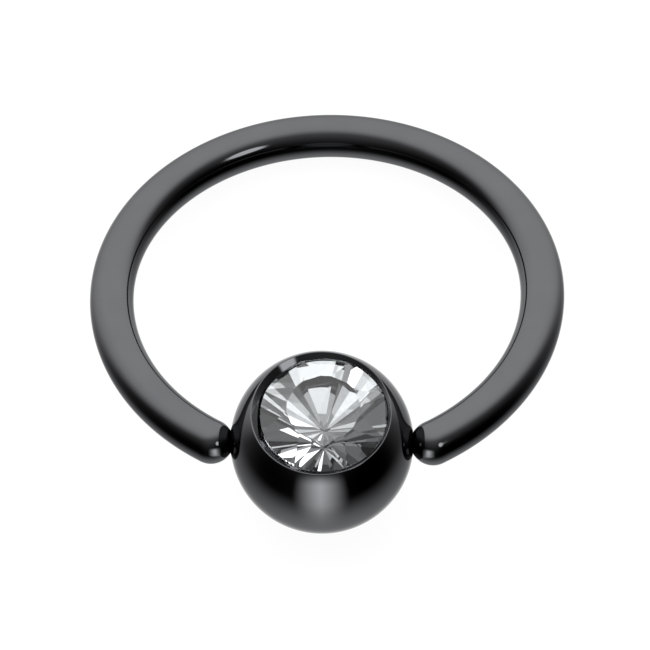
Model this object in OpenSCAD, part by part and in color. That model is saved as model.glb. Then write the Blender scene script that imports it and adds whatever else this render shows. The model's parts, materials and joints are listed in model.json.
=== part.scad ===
// Captive bead ring, lying on a flat surface.
// A sprung wire hoop holds a ball between its two rounded ends, and the ball carries a cut stone.
// Millimetres. +Z is up, +X runs through both wire ends, and -Y is the side of the ball.
// The origin is on the surface, under the middle of the whole piece.

/* [Wire hoop] */
// Diameter of the wire
wire_d = 1.2; // [0.9:0.05:1.6]
// Clear width inside the hoop, from side to side
hoop_inner_d = 10.5; // [9:0.5:14]
// Extra bend radius of the wire's near half, which the ball holds sprung open
spring_open = 0.33; // [0:0.01:0.6]

/* [Ball] */
// Diameter of the ball
ball_d = 4.85; // [4.4:0.05:5.6]
// How far each domed wire end reaches into the ball
end_entry = 0.1; // [0.06:0.01:0.2]
// How much the dome of a wire end is wider than the wire itself, in radius
dome_extra = 0.01; // [0.01:0.01:0.1]
// Running gap between a domed end and its dimple
end_gap = 0.03; // [0.02:0.01:0.06]

/* [Seat] */
// Middle width of the slanted bezel round the stone
bezel_w = 0.145; // [0.12:0.005:0.3]
// Slant of the bezel, down towards the stone, in degrees
bezel_slant = 40; // [20:1:55]
// Depth of the stone's edge below the mouth of the seat
stone_sink = 0.13; // [0.05:0.01:0.2]
// How far the bore for the stone sits beside the middle of the bezel
bore_shift = 0.07; // [0:0.01:0.1]
// Gap between the stone and the seat
stone_gap = 0.02; // [0.01:0.005:0.05]
// Lean of the seat from upright towards the near side, in degrees
seat_lean_near = 1; // [-20:1:20]
// Lean of the seat from upright towards the right, in degrees
seat_lean_right = 0.5; // [-10:0.5:10]

/* [Stone] */
// Diameter of the stone across its round edge
stone_d = 3.32; // [2.6:0.02:3.6]
// Least height of the stone's round edge
edge_h = 0.05; // [0.04:0.01:0.16]
// Width of the flat table, from side to side
table_w = 1.92; // [1.4:0.02:2.2]
// Slant of the eight main facets of the crown, in degrees
crown_slant = 28; // [25:0.5:45]
// Turn of the main crown facets about the stone's axis, in degrees
crown_turn = -2; // [-20:0.5:20]
// Slant of the eight crown facets between the main ones, in degrees
crown_between_slant = 23.5; // [20:0.5:45]
// Distance from the axis to each crown facet between, at the table's height
crown_between_reach = 0.94; // [0.8:0.01:1.1]
// Slant of the eight main facets of the pointed back, in degrees
back_slant = 46.5; // [35:0.5:50]
// Turn of the main back facets about the stone's axis, in degrees
back_turn = 8; // [-20:0.5:20]
// Slant of the eight back facets between the main ones, in degrees
back_between_slant = 45; // [35:0.5:50]
// How much lower on the edge the back facets between start
back_between_drop = 0.08; // [0:0.01:0.12]

/* [Hidden] */
$fn = 96;
steel_colour = [0.17, 0.17, 0.18];
crystal_colour = [0.88, 0.9, 0.92];

wire_r = wire_d / 2;
ball_r = ball_d / 2;

// The centre of each dome lies on one line through the ball's centre, so the ball turns on both.
dome_r = wire_r + dome_extra;
end_x = ball_r - end_entry + dome_r;
hoop_r = (hoop_inner_d + wire_d) / 2;
near_r = hoop_r + spring_open;
near_angle = acos((end_x + spring_open) / near_r);
hoop_reach = near_r * sin(near_angle);

// The hoop leans on its far side while the ball carries the near side.
hoop_tilt = asin((ball_r - wire_r) / (hoop_reach + hoop_r));
far_edge = (hoop_reach + hoop_r) * cos(hoop_tilt) + wire_r;
ball_y = (ball_r - far_edge) / 2;

stone_r = stone_d / 2;
bore_r = stone_r + stone_gap;
bezel_r = bore_r + bezel_w;
mouth_z = sqrt(pow(ball_r, 2) - pow(bezel_r, 2));
bezel_drop = (bezel_w + bore_shift) * tan(bezel_slant);
edge_z = mouth_z - stone_sink;

// The cut has eight main facets, and eight between them, above and below the stone's edge.
sides = 8;
half_step = 180 / sides;
table_z = (stone_r - table_w / 2) * tan(crown_slant);

// The cone under the stone follows the corners between its main back facets.
cone_slope = tan(back_slant) * cos(half_step);
corner_drop = stone_r * (1 - cos(half_step)) * tan(back_slant);
// Gap under the pointed back, measured straight down
back_gap = stone_gap * sqrt(1 + pow(cone_slope, 2));

// How far the cutting shapes reach past the surface that they cut
past = 1;

// Places its children at the ball's centre, level with the surface.
module at_ball() {
    translate([0, ball_y, ball_r]) children();
}

// Places its children in the leaning plane of the hoop, with the ball's centre as origin.
module in_hoop_plane() {
    at_ball() rotate([-hoop_tilt, 0, 0]) children();
}

// Places its children on the axis of the seat, with the ball's centre as origin.
module on_seat_axis() {
    at_ball() rotate([seat_lean_near, seat_lean_right, 0]) children();
}

// A stretch of round wire bent to the given radius about Z, from +X through the given angle
module bent_wire(radius, angle) {
    rotate_extrude(angle = angle) translate([radius, 0]) circle(d = wire_d);
}

// What is cut from a wire that runs on past its end: all beyond the origin, towards -Y, but a dome
module end_cut() {
    block = 4 * wire_d;
    difference() {
        translate([-block / 2, -block, -block / 2]) cube(block);
        sphere(r = dome_r);
    }
}

module hoop() {
    // Angle past its end by which the near wire is bent before it is cut
    run_on = 15;
    color(steel_colour) in_hoop_plane() translate([0, hoop_reach, 0])
        difference() {
            union() {
                bent_wire(hoop_r, 180);
                for (side = [0, 1])
                    mirror([side, 0, 0]) translate([-spring_open, 0, 0])
                        mirror([0, 1, 0]) bent_wire(near_r, near_angle + run_on);
            }
            for (side = [0, 1])
                mirror([side, 0, 0]) translate([-spring_open, 0, 0])
                    rotate([0, 0, -near_angle]) translate([near_r, 0, 0]) end_cut();
        }
}

// The slanted bezel, cut on past the ball's surface
module bezel_cut() {
    floor_r = bore_r - bore_shift;
    floor_z = mouth_z - bezel_drop;
    rim_r = bezel_r + past;
    rim_z = mouth_z + past * tan(bezel_slant);
    top_z = max(ball_r, rim_z) + past;
    rotate_extrude()
        polygon([[0, floor_z], [floor_r, floor_z], [rim_r, rim_z], [rim_r, top_z], [0, top_z]]);
}

// The straight bore for the stone's edge, with a cone below it for the pointed back
module stone_bore() {
    ledge_z = edge_z - edge_h - corner_drop - back_gap;
    tip_z = ledge_z - bore_r * cone_slope;
    top_z = ball_r + past;
    translate([bore_shift, 0, 0])
        rotate_extrude() polygon([[0, tip_z], [bore_r, ledge_z], [bore_r, top_z], [0, top_z]]);
}

module bead() {
    color(steel_colour) difference() {
        at_ball() sphere(d = ball_d);
        on_seat_axis() {
            bezel_cut();
            stone_bore();
        }
        for (side = [-1, 1])
            at_ball() translate([side * end_x, 0, 0]) sphere(r = dome_r + end_gap);
    }
}

// An eight-sided pyramid. Each side slants down outwards through a point at the given height and distance
// from the axis, and one side faces the given turn from +X.
module facets(reach, level, slant, turn) {
    height = 2 * stone_d;
    foot_r = height / tan(slant) / cos(half_step);
    translate([0, 0, level + reach * tan(slant) - height]) rotate([0, 0, turn - half_step])
        cylinder(h = height, r1 = foot_r, r2 = 0, $fn = sides);
}

// A round rod, cut by the four rings of facets
module stone() {
    color(crystal_colour) on_seat_axis() translate([bore_shift, 0, edge_z])
        intersection() {
            translate([0, 0, -stone_d]) cylinder(h = stone_d + table_z, r = stone_r);
            facets(stone_r, 0, crown_slant, crown_turn);
            facets(crown_between_reach, table_z, crown_between_slant, crown_turn + half_step);
            mirror([0, 0, 1]) facets(stone_r, edge_h, back_slant, back_turn);
            mirror([0, 0, 1])
                facets(stone_r, edge_h + back_between_drop, back_between_slant, back_turn + half_step);
        }
}

hoop();
bead();
stone();
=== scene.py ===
"""Looks of a captive bead ring in black-coated steel, with a foil-backed cut crystal set in its ball."""
import json
import math

import bmesh
import bpy
import numpy as np
from mathutils import Matrix, Vector


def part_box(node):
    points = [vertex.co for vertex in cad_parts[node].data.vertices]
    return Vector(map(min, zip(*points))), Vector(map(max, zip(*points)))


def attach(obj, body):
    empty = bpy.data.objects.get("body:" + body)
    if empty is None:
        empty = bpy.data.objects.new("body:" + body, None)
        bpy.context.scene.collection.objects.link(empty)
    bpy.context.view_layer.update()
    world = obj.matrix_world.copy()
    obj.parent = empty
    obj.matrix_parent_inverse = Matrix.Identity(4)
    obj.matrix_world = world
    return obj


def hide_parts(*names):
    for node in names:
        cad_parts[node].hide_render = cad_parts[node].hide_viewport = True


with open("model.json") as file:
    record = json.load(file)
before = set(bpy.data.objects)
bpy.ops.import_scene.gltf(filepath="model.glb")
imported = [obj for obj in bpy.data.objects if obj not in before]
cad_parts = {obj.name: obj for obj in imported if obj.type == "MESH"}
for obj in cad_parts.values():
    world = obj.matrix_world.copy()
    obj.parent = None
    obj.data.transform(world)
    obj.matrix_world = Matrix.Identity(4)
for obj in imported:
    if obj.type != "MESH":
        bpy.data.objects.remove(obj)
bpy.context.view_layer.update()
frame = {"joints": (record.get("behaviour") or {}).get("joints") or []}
MM = 0.001

# The two bodies of the part. The ball turns about its own centre, and at rest it touches the surface.
HOOP_BODY, BALL_BODY = "hoop_body", "ball_body"
BALL_CENTRE = np.array(frame["joints"][0]["pos_m"])
BALL_R = BALL_CENTRE[2]

# The wire hoop, and the dimples that its rounded ends turn in
WIRE_R = 0.6 * MM
SPRING_OPEN = 0.33 * MM  # extra bend radius of the wire's near half
DOME_EXTRA = 0.01 * MM  # how much longer than the wire's radius each rounded end is
DOME_LENGTH = WIRE_R + DOME_EXTRA
END_ENTRY = 0.1 * MM  # how far each rounded end reaches into the ball
END_GAP = 0.03 * MM  # running gap between a rounded end and its dimple
DIMPLE_SOFTNESS = 0.003 * MM  # length over which the rim of a dimple is rounded off
HOOP_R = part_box("hoop")[1].x - WIRE_R
END_X = BALL_R - END_ENTRY + DOME_LENGTH
NEAR_R = HOOP_R + SPRING_OPEN
NEAR_ANGLE = math.acos((END_X + SPRING_OPEN) / NEAR_R)
HOOP_REACH = NEAR_R * math.sin(NEAR_ANGLE)  # from the ball's centre to the hoop's
HOOP_TILT = math.asin((BALL_R - WIRE_R) / (HOOP_REACH + HOOP_R))

# The seat for the stone, in the ball. Heights are from the ball's centre, along the seat's axis.
STONE_R = 1.66 * MM
STONE_GAP = 0.02 * MM
BORE_R = STONE_R + STONE_GAP
BORE_SHIFT = 0.07 * MM  # how far the bore sits beside the middle of the bezel
BEZEL_W = 0.145 * MM
BEZEL_SLANT = math.radians(40)
BEZEL_R = BORE_R + BEZEL_W
MOUTH_Z = math.sqrt(BALL_R**2 - BEZEL_R**2)
STONE_SINK = 0.13 * MM
EDGE_Z = MOUTH_Z - STONE_SINK
SEAT_LEAN_NEAR = math.radians(1)
SEAT_LEAN_RIGHT = math.radians(0.5)

# The cut stone, with eight main facets and eight facets between them above and below its round edge
STONE_SIDES = 8
HALF_STEP = math.pi / STONE_SIDES
EDGE_H = 0.05 * MM  # least height of the round edge
TABLE_W = 1.92 * MM  # across the sides of its flat table
CROWN_SLANT = math.radians(28)
CROWN_TURN = math.radians(-2)
CROWN_BETWEEN_SLANT = math.radians(23.5)
CROWN_BETWEEN_REACH = 0.94 * MM  # from the axis out to a facet between, at the table's height
BACK_SLANT = math.radians(46.5)
BACK_TURN = math.radians(8)
BACK_BETWEEN_SLANT = math.radians(45)
BACK_BETWEEN_DROP = 0.08 * MM  # how much lower on the edge the facets between start
TABLE_Z = (STONE_R - TABLE_W / 2) * math.tan(CROWN_SLANT)
CRYSTAL_IOR = 1.61

# The cone of the seat follows the corners between the main facets of the stone's back.
CONE_SLOPE = math.tan(BACK_SLANT) * math.cos(HALF_STEP)
CORNER_DROP = STONE_R * (1 - math.cos(HALF_STEP)) * math.tan(BACK_SLANT)
BACK_GAP = STONE_GAP * math.hypot(1, CONE_SLOPE)  # gap under the back, measured straight down

# The camera, at the viewing angle measured on the photograph of 650 by 650 pixels
PHOTO_SIZE = 650
PIXELS_PER_METRE = 36820  # of the photograph, at the target
SENSOR_WIDTH = 36  # in millimetres, as the lens is
VIEW_AZIMUTH = math.radians(3.54)
VIEW_ELEVATION = math.radians(58.64)
VIEW_ROLL = math.radians(-2.69)
VIEW_DISTANCE = 110 * MM
VIEW_TARGET = np.array([-0.044, -0.206, 1.2]) * MM
NEAREST_SEEN, FARTHEST_SEEN = 1 * MM, 20

# The floor, a light table, and the plain backdrop as the camera sees it
FLOOR_HALF = 2.0
FLOOR_GREY = 0.1
FLOOR_GLOW = 0.95
BACKDROP_GLOW = 0.97

# The studio. Its light comes from wide soft sources, one small lamp and the card.
LIGHT = 1.2  # factor on all of them
WIDE_SOURCES = [
    # brightness, pull of its level towards +X, +Y and +Z, narrowing to both sides, and the level where
    # it starts
    (0.92, (-0.035, 0.53, 0.09), 0.46, -0.64),  # a sweep from behind
    (0.97, (-0.26, 1.65, 0.76), 0.34, -0.09),  # a softbox behind and above
    (1.55, (0, 0, -1), 0, 0.3),  # the light table, from below
]
LAMP_GLOW = 3.5
LAMP_AZIMUTH = math.radians(48)
LAMP_ELEVATION = math.radians(37)
LAMP_INNER, LAMP_OUTER = math.radians(7), math.radians(11)  # from its middle: full glow, and none

# The white card in front of the ball
CARD_NEAR = 6.9 * MM  # how far in front of the origin it starts
CARD_REACH = 6.1 * MM  # how far it lies on the floor before it stands up
CARD_HEIGHT = 7.2 * MM
CARD_HALF_WIDTH = 6.5 * MM
CARD_GLOW = 3.9
CARD_HALF_GLOW = 4.8 * MM  # way along it at which it has half its glow
CARD_TOP_FADE = 9.9 * MM, 12.9 * MM  # ways along it between which it fades out
CARD_SIDE_FADE = -0.15, 0.62  # sideways slopes between which it fades out
CARD_SIDE_ORIGIN = 1.2 * MM  # how far short of its near edge those slopes start

# Finishes. A roughness is that of the cleanest spots, and haze, specks and dust add to it.
COAT_COLOURS = (0.092, 0.093, 0.098, 1), (0.107, 0.108, 0.113, 1)  # darkest and palest
COAT_TINT = (0.5, 0.5, 0.5, 1)  # holds down the shine of the black coat at low angles
COAT_ROUGHNESS, COAT_HAZE, COAT_SPECKS = 0.055, 0.05, 0.05
POLISH_DEPTH = 0.002 * MM  # of the marks that polishing leaves
CLOUD_SHARE = 0.7  # of those marks, the rest being lines
CRYSTAL_COLOUR, DUST_COLOUR = (0.967, 0.992, 1, 1), (0.92, 0.94, 0.96, 1)
CRYSTAL_ROUGHNESS, DUST_ROUGHNESS = 0.012, 0.06
FOIL_COLOURS = (0.7, 0.705, 0.715, 1), (0.77, 0.775, 0.78, 1)  # darkest and palest
FOIL_ROUGHNESS, FOIL_HAZE = 0.01, 0.03


def direction(azimuth, elevation):
    """Unit vector from the object: azimuth 0 is towards -Y, where the viewer stands, and grows
    towards +X."""
    level = math.cos(elevation)
    return np.array([math.sin(azimuth) * level, -math.cos(azimuth) * level, math.sin(elevation)])


def rotation(axis, angle):
    """3 by 3 matrix that turns a column by an angle about one of the axes X, Y and Z."""
    return np.array(Matrix.Rotation(angle, 3, axis))


def hoop_plane_to_frame(points):
    """Carries points from the hoop's own plane, its centre as origin, to the part's frame: the
    plane leans by the hoop's tilt about X, and its centre lies the hoop's reach beyond the ball's
    centre."""
    turned = (points + np.array([0, HOOP_REACH, 0])) @ rotation("X", -HOOP_TILT).T
    return turned + BALL_CENTRE


def seat_turn():
    """3 by 3 matrix of the seat's lean: one about X, then one about Y."""
    return rotation("Y", SEAT_LEAN_RIGHT) @ rotation("X", SEAT_LEAN_NEAR)


def seat_to_frame(points):
    """Carries points from the seat's axes, the ball's centre as origin, to the part's frame."""
    return points @ seat_turn().T + BALL_CENTRE


def mesh_object(name, points, faces, smooth):
    """An object at the origin whose mesh has these points and faces."""
    mesh = bpy.data.meshes.new(name)
    mesh.from_pydata(points, [], faces)
    mesh.polygons.foreach_set("use_smooth", np.full(len(mesh.polygons), smooth))
    mesh.update()
    piece = bpy.data.objects.new(name, mesh)
    bpy.context.scene.collection.objects.link(piece)
    return piece


def skin(name, loops, first, last):
    """A closed smooth skin over closed loops of points (row, point, XYZ), with a single point
    beyond each end row. Each square of the grid joins two points of a row to the same two of the
    next, and a fan closes each end."""
    rows, count = loops.shape[:2]
    here = np.arange(count)
    after = (here + 1) % count
    start = np.arange(rows - 1)[:, None] * count
    squares = np.stack([start + here, start + after, start + count + after, start + count + here], -1)
    foot, head = rows * count, rows * count + 1
    top_row = (rows - 1) * count
    foot_fan = np.stack([np.full(count, foot), after, here], -1)
    head_fan = np.stack([top_row + here, top_row + after, np.full(count, head)], -1)
    points = np.concatenate([loops.reshape(-1, 3), [first], [last]])
    faces = squares.reshape(-1, 4).tolist() + foot_fan.tolist() + head_fan.tolist()
    return mesh_object(name, points.tolist(), faces, True)


def wire_line(rows):
    """The wire's centre line in the hoop's plane, as points and outward directions. With the arc
    length as parameter, it is an arc of the near radius about a centre shifted by the spring, a
    half circle, and the first arc again."""
    near_length = NEAR_R * NEAR_ANGLE
    far_length = math.pi * HOOP_R
    way = np.linspace(0, 2 * near_length + far_length, rows)
    before = way < near_length
    beyond = way > near_length + far_length
    angle = (way - near_length) / HOOP_R
    angle[before] = (way[before] - near_length) / NEAR_R
    angle[beyond] = math.pi + (way[beyond] - near_length - far_length) / NEAR_R
    radius = np.where(before | beyond, NEAR_R, HOOP_R)
    shift = np.where(before, -SPRING_OPEN, np.where(beyond, SPRING_OPEN, 0))
    outward = np.stack([np.cos(angle), np.sin(angle), np.zeros(rows)], -1)
    return outward * radius[:, None] + np.stack([shift, 0 * way, 0 * way], -1), outward


def make_hoop(rows=620, sides=96, dome_rows=24):
    """A circle of the wire's radius carried along the centre line. Past each end the circle's
    radius falls as the cosine of a rising angle while it moves on by the sine, which makes a
    dome."""
    centre, outward = wire_line(rows)
    upward = np.array([0, 0, 1.0])
    rise = np.linspace(0, math.pi / 2, dome_rows + 1)[1:-1]
    ahead_last = np.cross(upward, outward[-1])
    ahead_first = -np.cross(upward, outward[0])
    before = centre[0] + DOME_LENGTH * np.sin(rise[::-1])[:, None] * ahead_first
    beyond = centre[-1] + DOME_LENGTH * np.sin(rise)[:, None] * ahead_last
    centres = np.concatenate([before, centre, beyond])
    outward_before = np.tile(outward[0], (len(rise), 1))
    outward_beyond = np.tile(outward[-1], (len(rise), 1))
    outwards = np.concatenate([outward_before, outward, outward_beyond])
    radii = WIRE_R * np.concatenate([np.cos(rise[::-1]), np.ones(rows), np.cos(rise)])
    around = np.linspace(0, 2 * math.pi, sides, endpoint=False)
    spoke = np.cos(around)[None, :, None] * outwards[:, None] - np.sin(around)[None, :, None] * upward
    loops = centres[:, None] + radii[:, None, None] * spoke
    tips = np.array([centre[0] + DOME_LENGTH * ahead_first, centre[-1] + DOME_LENGTH * ahead_last])
    first, last = hoop_plane_to_frame(tips)
    return skin("wire_hoop", hoop_plane_to_frame(loops), first, last)


def dimpled_radius(directions):
    """Distance from the ball's centre to its surface along unit directions: the ball's radius, or
    the nearer meeting with the dimple's sphere where that is less, joined by the soft minimum
    -k log(exp(-a/k) + exp(-b/k))."""
    dimple_r = DOME_LENGTH + END_GAP
    along = END_X * np.abs(directions[..., 0])
    inside = along**2 - END_X**2 + dimple_r**2
    meeting = np.where(inside > 0, along - np.sqrt(np.maximum(inside, 0)), END_X)
    return BALL_R - DIMPLE_SOFTNESS * np.log1p(np.exp((BALL_R - meeting) / DIMPLE_SOFTNESS))


def make_bead(sides=448, ball_rows=170, bezel_rows=10, bore_rows=8, cone_rows=14, crowding=0.25):
    """A surface of two parameters, the angle about the seat's axis and the way along a profile. The
    angles crowd together at the dimples, as e - c sin(2e) for an even angle e. The profile runs up
    the ball from its foot, over the mouth's edge, down the slanted bezel, down the bore's wall and
    in to the tip of the cone under the stone. The bore's circle is shifted sideways, so its radius
    about the seat's axis is shift cos(a) + sqrt(r^2 - shift^2 sin(a)^2)."""
    even = np.linspace(0, 2 * math.pi, sides, endpoint=False)
    around = even - crowding * np.sin(2 * even)
    ring = np.stack([np.cos(around), np.sin(around), 0 * around], -1)
    upward = np.array([0, 0, 1.0])
    mouth_angle = math.asin(BEZEL_R / BALL_R)
    fall = np.linspace(math.pi, mouth_angle, ball_rows + 1)[1:]
    directions = np.sin(fall)[:, None, None] * ring + np.cos(fall)[:, None, None] * upward
    outside = directions * dimpled_radius(directions @ seat_turn().T)[..., None]

    bore = BORE_SHIFT * np.cos(around) + np.sqrt(BORE_R**2 - (BORE_SHIFT * np.sin(around)) ** 2)
    ledge_z = EDGE_Z - EDGE_H - CORNER_DROP - BACK_GAP
    tip_z = ledge_z - BORE_R * CONE_SLOPE
    all_round = np.ones(sides)
    mouth = BEZEL_R * all_round, MOUTH_Z * all_round
    bezel_foot = bore, MOUTH_Z - (BEZEL_R - bore) * math.tan(BEZEL_SLANT)
    ledge = bore, ledge_z * all_round
    tip = 0 * bore, tip_z * all_round
    stretches = [(mouth, bezel_foot, bezel_rows), (bezel_foot, ledge, bore_rows), (ledge, tip, cone_rows)]
    rows = []
    for (radius_a, z_a), (radius_b, z_b), steps in stretches:
        share = np.linspace(0, 1, steps + 1)[1:, None]
        rows.append(np.stack([radius_a + share * (radius_b - radius_a), z_a + share * (z_b - z_a)], 1))
    profile = np.concatenate(rows)[:-1]
    seat = profile[:, 0, :, None] * ring + profile[:, 1, :, None] * upward

    first, last = seat_to_frame(np.array([[0, 0, -BALL_R], [0, 0, tip_z]]))
    return skin("ball", seat_to_frame(np.concatenate([outside, seat])), first, last)


def make_stone(edge_sides=96):
    """A round rod from the table down past the tip, cut by planes in millimetres. Each ring of
    planes turns about the axis in even steps. One plane has the normal
    (sin s cos a, sin s sin a, cos s) for its slant s and its angle a, pointing down for the back,
    and passes through a point at a given distance from the axis and a given height. The faces of
    the back take the second material."""
    rings = [
        # distance from the axis, height, slant, turn, and 1 for the crown or -1 for the back
        (STONE_R, 0, CROWN_SLANT, CROWN_TURN, 1),
        (CROWN_BETWEEN_REACH, TABLE_Z, CROWN_BETWEEN_SLANT, CROWN_TURN + HALF_STEP, 1),
        (STONE_R, -EDGE_H, BACK_SLANT, BACK_TURN, -1),
        (STONE_R, -EDGE_H - BACK_BETWEEN_DROP, BACK_BETWEEN_SLANT, BACK_TURN + HALF_STEP, -1),
    ]
    rod_foot = -2 * STONE_R
    rod_middle = (TABLE_Z + rod_foot) / 2
    solid = bmesh.new()
    bmesh.ops.create_cone(solid, cap_ends=True, segments=edge_sides, radius1=STONE_R / MM,
                          radius2=STONE_R / MM, depth=(TABLE_Z - rod_foot) / MM)
    bmesh.ops.translate(solid, verts=solid.verts, vec=(0, 0, rod_middle / MM))
    for reach, level, slant, turn, upward in rings:
        for angle in turn + np.arange(STONE_SIDES) * 2 * HALF_STEP:
            outward = np.array([math.cos(angle), math.sin(angle), 0])
            normal = math.sin(slant) * outward + math.cos(slant) * np.array([0, 0, upward])
            point = (reach * outward + np.array([0, 0, level])) / MM
            everything = solid.verts[:] + solid.edges[:] + solid.faces[:]
            bmesh.ops.bisect_plane(solid, geom=everything, plane_co=point, plane_no=normal,
                                   clear_outer=True)
            rim = [edge for edge in solid.edges if edge.is_boundary]
            bmesh.ops.contextual_create(solid, geom=rim)
    bmesh.ops.recalc_face_normals(solid, faces=solid.faces)
    solid.verts.index_update()
    solid.normal_update()
    corners = np.array([vertex.co for vertex in solid.verts]) * MM
    faces = [[vertex.index for vertex in face.verts] for face in solid.faces]
    # Normals of the round edge are level and those of the back point down, so half their fall parts them.
    is_back = [face.normal.z < -math.cos(BACK_SLANT) / 2 for face in solid.faces]
    solid.free()
    placed = corners + np.array([BORE_SHIFT, 0, EDGE_Z])
    stone = mesh_object("cut_stone", seat_to_frame(placed).tolist(), faces, False)
    stone.data.polygons.foreach_set("material_index", np.array(is_back, dtype=np.int32))
    return stone


class Socket:
    """One output of a shader node, so that shader maths is written as plain expressions. Without an
    output it stands for its tree alone, to add the first node."""

    def __init__(self, tree, output=None):
        self.tree = tree
        self.output = output

    def node(self, kind, settings=None, **inputs):
        """Adds a node and gives its first output, if it has one. Its settings are set first, then
        the values or links of its inputs, which go by name or, as in _0, by number."""
        made = self.tree.nodes.new(kind)
        for name, value in (settings or {}).items():
            setattr(made, name, value)
        for name, value in inputs.items():
            key = int(name[1:]) if name[1:].isdigit() else name.replace("_", " ")
            if isinstance(value, Socket):
                self.tree.links.new(value.output, made.inputs[key])
            else:
                made.inputs[key].default_value = value
        return Socket(self.tree, made.outputs[0] if len(made.outputs) else None)

    def sibling(self, key):
        """Another output of the same node, by name or by number."""
        return Socket(self.tree, self.output.node.outputs[key])

    def maths(self, operation, *values, clamp=False):
        """The result of one Math operation on these values."""
        settings = {"operation": operation, "use_clamp": clamp}
        inputs = {f"_{number}": value for number, value in enumerate(values)}
        return self.node("ShaderNodeMath", settings, **inputs)

    def __add__(self, other):
        return self.maths("ADD", self, other)

    def __sub__(self, other):
        return self.maths("SUBTRACT", self, other)

    def __rsub__(self, other):
        return self.maths("SUBTRACT", other, self)

    def __neg__(self):
        return 0 - self

    def __mul__(self, other):
        return self.maths("MULTIPLY", self, other)

    def __truediv__(self, other):
        return self.maths("DIVIDE", self, other)

    def __abs__(self):
        return self.maths("ABSOLUTE", self)

    __radd__ = __add__
    __rmul__ = __mul__

    def parts(self):
        """The X, Y and Z of this vector."""
        split = self.node("ShaderNodeSeparateXYZ", Vector=self)
        return [split.sibling(axis) for axis in "XYZ"]

    def noise(self, per_metre, detail, stretch=(1, 1, 1)):
        """Smooth noise over these coordinates, with this many lumps to a metre and this many finer
        layers, drawn out where stretch is small."""
        drawn = self.node("ShaderNodeVectorMath", {"operation": "MULTIPLY"}, _0=self, _1=stretch)
        return self.node("ShaderNodeTexNoise", Vector=drawn, Scale=per_metre, Detail=detail)

    def between(self, low, high):
        """The colour at this share of the way from one colour to another. The node's inputs 6 and 7
        are its colours, and its output 2 is the mixed one."""
        return self.node("ShaderNodeMix", {"data_type": "RGBA"}, _0=self, _6=low, _7=high).sibling(2)

    def rise(self, low, high):
        """Smooth step from 0 at low to 1 at high: 3t^2 - 2t^3, where t is the share of the way,
        clamped."""
        share = self.maths("DIVIDE", self - low, high - low, clamp=True)
        return share * share * (3 - 2 * share)


def coordinates(owner, kind):
    """Empties the node tree of a material or world, and gives its texture coordinates of one kind."""
    owner.use_nodes = True
    owner.node_tree.nodes.clear()
    return Socket(owner.node_tree).node("ShaderNodeTexCoord").sibling(kind)


def new_material(name):
    """An empty material and its Object coordinates."""
    material = bpy.data.materials.new(name)
    return material, coordinates(material, "Object")


def black_steel(name):
    """Polished steel under a black vacuum coat. Hand polishing leaves the gloss a little uneven,
    and leaves hair-fine lines that run one way."""
    material, place = new_material(name)
    cloud = place.noise(per_metre=900, detail=3)
    speck = place.noise(per_metre=5200, detail=2)
    lines = place.noise(per_metre=2600, detail=2, stretch=(0.06, 1, 1))
    haze = COAT_HAZE * cloud.rise(0.35, 0.75)
    roughness = COAT_ROUGHNESS + haze + COAT_SPECKS * speck.rise(0.6, 0.8)
    marks = CLOUD_SHARE * cloud + (1 - CLOUD_SHARE) * lines
    bump = place.node("ShaderNodeBump", Height=marks, Strength=0.25, Distance=POLISH_DEPTH)
    shader = place.node("ShaderNodeBsdfPrincipled", Base_Color=cloud.between(*COAT_COLOURS), Metallic=1,
                        Specular_Tint=COAT_TINT, Roughness=roughness, Normal=bump)
    place.node("ShaderNodeOutputMaterial", Surface=shader)
    return material


def clear_crystal():
    """Clear glass-like crystal with polished facets. A touch of dust and lint dulls it in small spots."""
    material, place = new_material("clear_crystal")
    dust = place.noise(per_metre=3800, detail=4).rise(0.62, 0.78)
    shader = place.node("ShaderNodeBsdfPrincipled", Base_Color=dust.between(CRYSTAL_COLOUR, DUST_COLOUR),
                        Transmission_Weight=1, IOR=CRYSTAL_IOR,
                        Roughness=CRYSTAL_ROUGHNESS + DUST_ROUGHNESS * dust)
    place.node("ShaderNodeOutputMaterial", Surface=shader)
    return material


def mirror_foil():
    """The silvered back of the crystal. Its metal has a faint cloudy unevenness."""
    material, place = new_material("mirror_foil")
    cloud = place.noise(per_metre=2400, detail=3)
    shader = place.node("ShaderNodeBsdfPrincipled", Base_Color=cloud.between(*FOIL_COLOURS), Metallic=1,
                        Roughness=FOIL_ROUGHNESS + FOIL_HAZE * cloud.rise(0.5, 0.8))
    place.node("ShaderNodeOutputMaterial", Surface=shader)
    return material


def make_camera():
    """Looks at the target from the photograph's angle. Its lens gives a metre at the target as many
    pixels as the photograph does."""
    back = direction(VIEW_AZIMUTH, VIEW_ELEVATION)
    level = np.array([math.cos(VIEW_AZIMUTH), math.sin(VIEW_AZIMUTH), 0])
    upright = np.cross(back, level)
    right = level * math.cos(VIEW_ROLL) + upright * math.sin(VIEW_ROLL)
    up = upright * math.cos(VIEW_ROLL) - level * math.sin(VIEW_ROLL)
    camera = bpy.data.objects.new("camera", bpy.data.cameras.new("camera"))
    camera.data.sensor_width = SENSOR_WIDTH
    camera.data.lens = PIXELS_PER_METRE * VIEW_DISTANCE * SENSOR_WIDTH / PHOTO_SIZE
    camera.data.clip_start = NEAREST_SEEN
    camera.data.clip_end = FARTHEST_SEEN
    place = Matrix(np.stack([right, up, back], 1).tolist()).to_4x4()
    place.translation = Vector(VIEW_TARGET + back * VIEW_DISTANCE)
    camera.matrix_world = place
    bpy.context.scene.collection.objects.link(camera)
    bpy.context.scene.camera = camera


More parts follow.
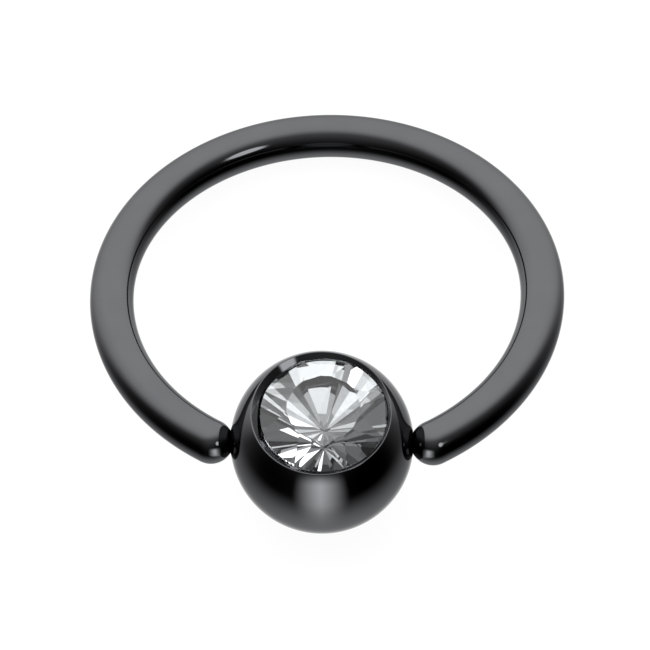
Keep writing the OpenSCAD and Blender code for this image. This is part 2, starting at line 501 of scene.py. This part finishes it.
def make_floor():
    """A plain white light table. It lights itself, so that only a faint shadow shows on it."""
    corners = [[-FLOOR_HALF, -FLOOR_HALF, 0], [FLOOR_HALF, -FLOOR_HALF, 0],
               [FLOOR_HALF, FLOOR_HALF, 0], [-FLOOR_HALF, FLOOR_HALF, 0]]
    floor = mesh_object("floor", corners, [[0, 1, 2, 3]], False)
    material, place = new_material("light_table")
    shader = place.node("ShaderNodeBsdfPrincipled", Base_Color=(FLOOR_GREY, FLOOR_GREY, FLOOR_GREY, 1),
                        Roughness=1, Specular_IOR_Level=0,
                        Emission_Color=(1, 1, 1, 1), Emission_Strength=FLOOR_GLOW)
    place.node("ShaderNodeOutputMaterial", Surface=shader)
    floor.data.materials.append(material)
    floor.visible_glossy = False
    floor.visible_transmission = False


def make_card():
    """A small white card in front of the ball, seen only in reflections. It lies on the floor, then
    stands up. The way w along it, from its near edge out and up, sets how it glows:
    w^2 / (w^2 + h^2), where h is the way at half its glow. It fades out towards its top and its
    sides."""
    foot = CARD_NEAR + CARD_REACH
    edges = [(CARD_NEAR, 0), (foot, 0), (foot, CARD_HEIGHT)]
    points = [[side * CARD_HALF_WIDTH, -y, z] for y, z in edges for side in (-1, 1)]
    card = mesh_object("white_card", points, [[0, 1, 3, 2], [2, 3, 5, 4]], False)
    material, place = new_material("white_card")
    x, y, z = place.parts()
    ahead = -y - CARD_NEAR
    along = ahead + z
    slope = abs(x) / (ahead + CARD_SIDE_ORIGIN)
    square = along * along
    glow = CARD_GLOW * LIGHT * square / (square + CARD_HALF_GLOW**2)
    fade = (1 - along.rise(*CARD_TOP_FADE)) * (1 - slope.rise(*CARD_SIDE_FADE))
    shine = place.node("ShaderNodeEmission", Strength=glow * fade)
    clear = place.node("ShaderNodeBsdfTransparent")
    both = place.node("ShaderNodeAddShader", _0=shine, _1=clear)
    place.node("ShaderNodeOutputMaterial", Surface=both)
    card.data.materials.append(material)
    card.visible_camera = False
    card.visible_diffuse = False
    card.visible_shadow = False


def wide_source(way, brightness, pull, narrowing, start):
    """Light from a wide soft source. Its level in the direction (x, y, z) is ax + by + cz - nx^2,
    for the pull (a, b, c) and the narrowing n, and it shines by the smooth step of that level over
    a stretch of 1 from its start."""
    x, y, z = way
    level = pull[0] * x + pull[1] * y + pull[2] * z - narrowing * (x * x)
    return brightness * level.rise(start, start + 1)


def make_light():
    """The studio as a soft light from all round, worked out from the direction (x, y, z) in which a
    ray leaves. A ray that comes from the camera meets the plain backdrop instead."""
    world = bpy.data.worlds.new("studio")
    place = coordinates(world, "Generated")
    x, y, z = place.parts()
    lamp_x, lamp_y, lamp_z = direction(LAMP_AZIMUTH, LAMP_ELEVATION).tolist()
    towards_lamp = lamp_x * x + lamp_y * y + lamp_z * z
    light = LAMP_GLOW * towards_lamp.rise(math.cos(LAMP_OUTER), math.cos(LAMP_INNER))
    for source in WIDE_SOURCES:
        light = light + wide_source((x, y, z), *source)
    from_camera = place.node("ShaderNodeLightPath").sibling("Is Camera Ray")
    strength = from_camera * BACKDROP_GLOW + (1 - from_camera) * (LIGHT * light)
    background = place.node("ShaderNodeBackground", Strength=strength)
    place.node("ShaderNodeOutputWorld", Surface=background)
    bpy.context.scene.world = world


make_camera()

hoop = make_hoop()
hoop.data.materials.append(black_steel("black_wire"))
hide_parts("hoop")
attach(hoop, HOOP_BODY)

ball = make_bead()
ball.data.materials.append(black_steel("black_ball"))
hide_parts("bead")
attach(ball, BALL_BODY)

stone = make_stone()
stone.data.materials.append(clear_crystal())
stone.data.materials.append(mirror_foil())
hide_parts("stone")
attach(stone, BALL_BODY)

make_floor()
make_card()
make_light()
bpy.context.scene.view_settings.view_transform = "Standard"
